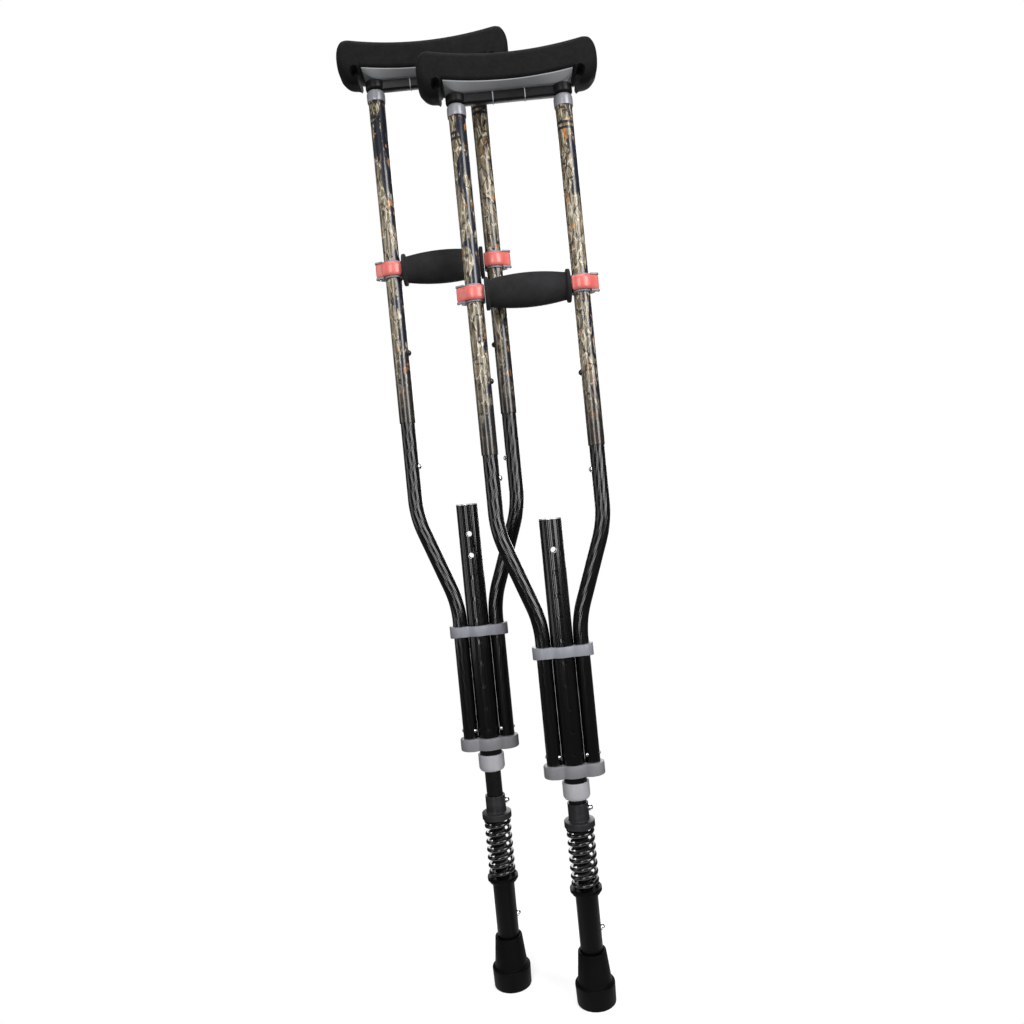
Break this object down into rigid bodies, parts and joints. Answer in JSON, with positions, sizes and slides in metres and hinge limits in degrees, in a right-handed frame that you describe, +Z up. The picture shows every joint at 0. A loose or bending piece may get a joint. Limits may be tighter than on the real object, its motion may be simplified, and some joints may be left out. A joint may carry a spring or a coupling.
{
  "type": "underarm crutches",
  "caption": "Pair of height-adjustable underarm crutches with foam pads, patterned upper tubes, lever-clamped hand grips, bowed side tubes, a drilled post and a sprung leg on a rubber tip.",
  "frame": {"origin": "on the floor, midway between the two crutches, under the middle of the pair's bounding box", "axes": "+Z up along the crutches, +X along the pads towards the right crutch, -Y towards the side that the grip levers wrap"},
  "size_m": [0.295, 0.096, 1.1178],
  "materials": {
    "pad_foam": "matte closed-cell foam",
    "grip_foam": "matte foam",
    "black_tube": "gloss black anodised, finely fluted",
    "camo_tube": "glossy camouflage film",
    "grey_plastic": "satin moulded",
    "light_plastic": "satin moulded",
    "tray_plastic": "matte moulded",
    "dark_plastic": "satin moulded",
    "silver_collar": "silver grey satin",
    "red_lever": "glossy moulded",
    "black_steel": "gloss black",
    "chrome": "polished",
    "tip_rubber": "matte"
  },
  "bodies": {
    "right_frame": {"right_front_side_bow": "black_tube", "right_rear_side_bow": "black_tube", "right_bow_band": "grey_plastic", "right_bow_bracket": "grey_plastic", "right_height_post": "black_tube", "right_post_collar": "light_plastic"},
    "right_top": {"right_front_upper_tube": "camo_tube", "right_rear_upper_tube": "camo_tube", "right_front_upright_collar": "silver_collar", "right_rear_upright_collar": "silver_collar", "right_saddle_rail": "dark_plastic", "right_pad_saddle": "tray_plastic", "right_underarm_pad": "pad_foam"},
    "right_grip": {"right_hand_grip": "grip_foam", "right_grip_rod": "black_steel", "right_front_grip_clamp": "grey_plastic", "right_rear_grip_clamp": "grey_plastic"},
    "right_leg": {"right_inner_leg_shaft": "black_tube", "right_upper_spring_seat": "dark_plastic", "right_shock_spring": "black_steel"},
    "right_foot": {"right_lower_leg_tube": "black_tube", "right_rubber_tip": "tip_rubber"},
    "right_front_lever": {"right_front_clamp_lever": "red_lever"},
    "right_front_upper_button_pin": {"right_front_upper_button": "black_steel"},
    "right_front_lower_button_pin": {"right_front_lower_button": "chrome"},
    "right_rear_lever": {"right_rear_clamp_lever": "red_lever"},
    "right_rear_upper_button_pin": {"right_rear_upper_button": "black_steel"},
    "right_rear_lower_button_pin": {"right_rear_lower_button": "chrome"},
    "right_seat_button_pin": {"right_seat_button": "chrome"},
    "right_leg_button_pin": {"right_leg_button": "chrome"},
    "left_frame": {"left_front_side_bow": "black_tube", "left_rear_side_bow": "black_tube", "left_bow_band": "grey_plastic", "left_bow_bracket": "grey_plastic", "left_height_post": "black_tube", "left_post_collar": "light_plastic"},
    "left_top": {"left_front_upper_tube": "camo_tube", "left_rear_upper_tube": "camo_tube", "left_front_upright_collar": "silver_collar", "left_rear_upright_collar": "silver_collar", "left_saddle_rail": "dark_plastic", "left_pad_saddle": "tray_plastic", "left_underarm_pad": "pad_foam"},
    "left_grip": {"left_hand_grip": "grip_foam", "left_grip_rod": "black_steel", "left_front_grip_clamp": "grey_plastic", "left_rear_grip_clamp": "grey_plastic"},
    "left_leg": {"left_inner_leg_shaft": "black_tube", "left_upper_spring_seat": "dark_plastic", "left_shock_spring": "black_steel"},
    "left_foot": {"left_lower_leg_tube": "black_tube", "left_rubber_tip": "tip_rubber"},
    "left_front_lever": {"left_front_clamp_lever": "red_lever"},
    "left_front_upper_button_pin": {"left_front_upper_button": "black_steel"},
    "left_front_lower_button_pin": {"left_front_lower_button": "chrome"},
    "left_rear_lever": {"left_rear_clamp_lever": "red_lever"},
    "left_rear_upper_button_pin": {"left_rear_upper_button": "black_steel"},
    "left_rear_lower_button_pin": {"left_rear_lower_button": "chrome"},
    "left_seat_button_pin": {"left_seat_button": "chrome"},
    "left_leg_button_pin": {"left_leg_button": "chrome"}
  },
  "joints": [
    {"name": "right_top_slide", "type": "slide", "parent": "right_frame", "child": "right_top", "axis": [0, 0, 1], "range_m": [0, 0.1016]},
    {"name": "right_grip_slide", "type": "slide", "parent": "right_top", "child": "right_grip", "axis": [0, 0, 1], "range_m": [-0.0508, 0.0762]},
    {"name": "right_leg_slide", "type": "slide", "parent": "right_frame", "child": "right_leg", "axis": [0, 0, -1], "range_m": [0, 0.1524]},
    {"name": "right_shock_travel", "type": "slide", "parent": "right_leg", "child": "right_foot", "axis": [0, 0, 1], "range_m": [0, 0.02], "stiffness_N_per_m": 20000, "springref_m": -0.001, "deforming": ["right_shock_spring"]},
    {"name": "right_front_lever_hinge", "type": "hinge", "parent": "right_grip", "child": "right_front_lever", "pos_m": [0.123, -0.028, 0.8], "axis": [0, 0, 1], "range_deg": [0, 110]},
    {"name": "right_front_upper_button_press", "type": "slide", "parent": "right_top", "child": "right_front_upper_button_pin", "axis": [1, 0, 0], "range_m": [0, 0.0025], "stiffness_N_per_m": 1500},
    {"name": "right_front_lower_button_press", "type": "slide", "parent": "right_frame", "child": "right_front_lower_button_pin", "axis": [1, 0, 0], "range_m": [0, 0.0025], "stiffness_N_per_m": 1500},
    {"name": "right_rear_lever_hinge", "type": "hinge", "parent": "right_grip", "child": "right_rear_lever", "pos_m": [-0.029, -0.028, 0.8], "axis": [0, 0, -1], "range_deg": [0, 110]},
    {"name": "right_rear_upper_button_press", "type": "slide", "parent": "right_top", "child": "right_rear_upper_button_pin", "axis": [-1, 0, 0], "range_m": [0, 0.0025], "stiffness_N_per_m": 1500},
    {"name": "right_rear_lower_button_press", "type": "slide", "parent": "right_frame", "child": "right_rear_lower_button_pin", "axis": [-1, 0, 0], "range_m": [0, 0.0025], "stiffness_N_per_m": 1500},
    {"name": "right_seat_button_press", "type": "slide", "parent": "right_leg", "child": "right_seat_button_pin", "axis": [-1, 0, 0], "range_m": [0, 0.0025], "stiffness_N_per_m": 1500},
    {"name": "right_leg_button_press", "type": "slide", "parent": "right_foot", "child": "right_leg_button_pin", "axis": [-1, 0, 0], "range_m": [0, 0.0025], "stiffness_N_per_m": 1500},
    {"name": "left_crutch_lift", "type": "slide", "parent": "right_frame", "child": "left_frame", "axis": [0, 0, 1], "range_m": [0, 0.3]},
    {"name": "left_top_slide", "type": "slide", "parent": "left_frame", "child": "left_top", "axis": [0, 0, 1], "range_m": [-0.0254, 0.0762]},
    {"name": "left_grip_slide", "type": "slide", "parent": "left_top", "child": "left_grip", "axis": [0, 0, 1], "range_m": [-0.0508, 0.0762]},
    {"name": "left_leg_slide", "type": "slide", "parent": "left_frame", "child": "left_leg", "axis": [0, 0, -1], "range_m": [-0.0254, 0.127]},
    {"name": "left_shock_travel", "type": "slide", "parent": "left_leg", "child": "left_foot", "axis": [0, 0, 1], "range_m": [0, 0.02], "stiffness_N_per_m": 20000, "springref_m": -0.001, "deforming": ["left_shock_spring"]},
    {"name": "left_front_lever_hinge", "type": "hinge", "parent": "left_grip", "child": "left_front_lever", "pos_m": [0.029, 0.022, 0.8508], "axis": [0, 0, 1], "range_deg": [0, 110]},
    {"name": "left_front_upper_button_press", "type": "slide", "parent": "left_top", "child": "left_front_upper_button_pin", "axis": [1, 0, 0], "range_m": [0, 0.0025], "stiffness_N_per_m": 1500},
    {"name": "left_front_lower_button_press", "type": "slide", "parent": "left_frame", "child": "left_front_lower_button_pin", "axis": [1, 0, 0], "range_m": [0, 0.0025], "stiffness_N_per_m": 1500},
    {"name": "left_rear_lever_hinge", "type": "hinge", "parent": "left_grip", "child": "left_rear_lever", "pos_m": [-0.123, 0.022, 0.8508], "axis": [0, 0, -1], "range_deg": [0, 110]},
    {"name": "left_rear_upper_button_press", "type": "slide", "parent": "left_top", "child": "left_rear_upper_button_pin", "axis": [-1, 0, 0], "range_m": [0, 0.0025], "stiffness_N_per_m": 1500},
    {"name": "left_rear_lower_button_press", "type": "slide", "parent": "left_frame", "child": "left_rear_lower_button_pin", "axis": [-1, 0, 0], "range_m": [0, 0.0025], "stiffness_N_per_m": 1500},
    {"name": "left_seat_button_press", "type": "slide", "parent": "left_leg", "child": "left_seat_button_pin", "axis": [-1, 0, 0], "range_m": [0, 0.0025], "stiffness_N_per_m": 1500},
    {"name": "left_leg_button_press", "type": "slide", "parent": "left_foot", "child": "left_leg_button_pin", "axis": [-1, 0, 0], "range_m": [0, 0.0025], "stiffness_N_per_m": 1500}
  ]
}
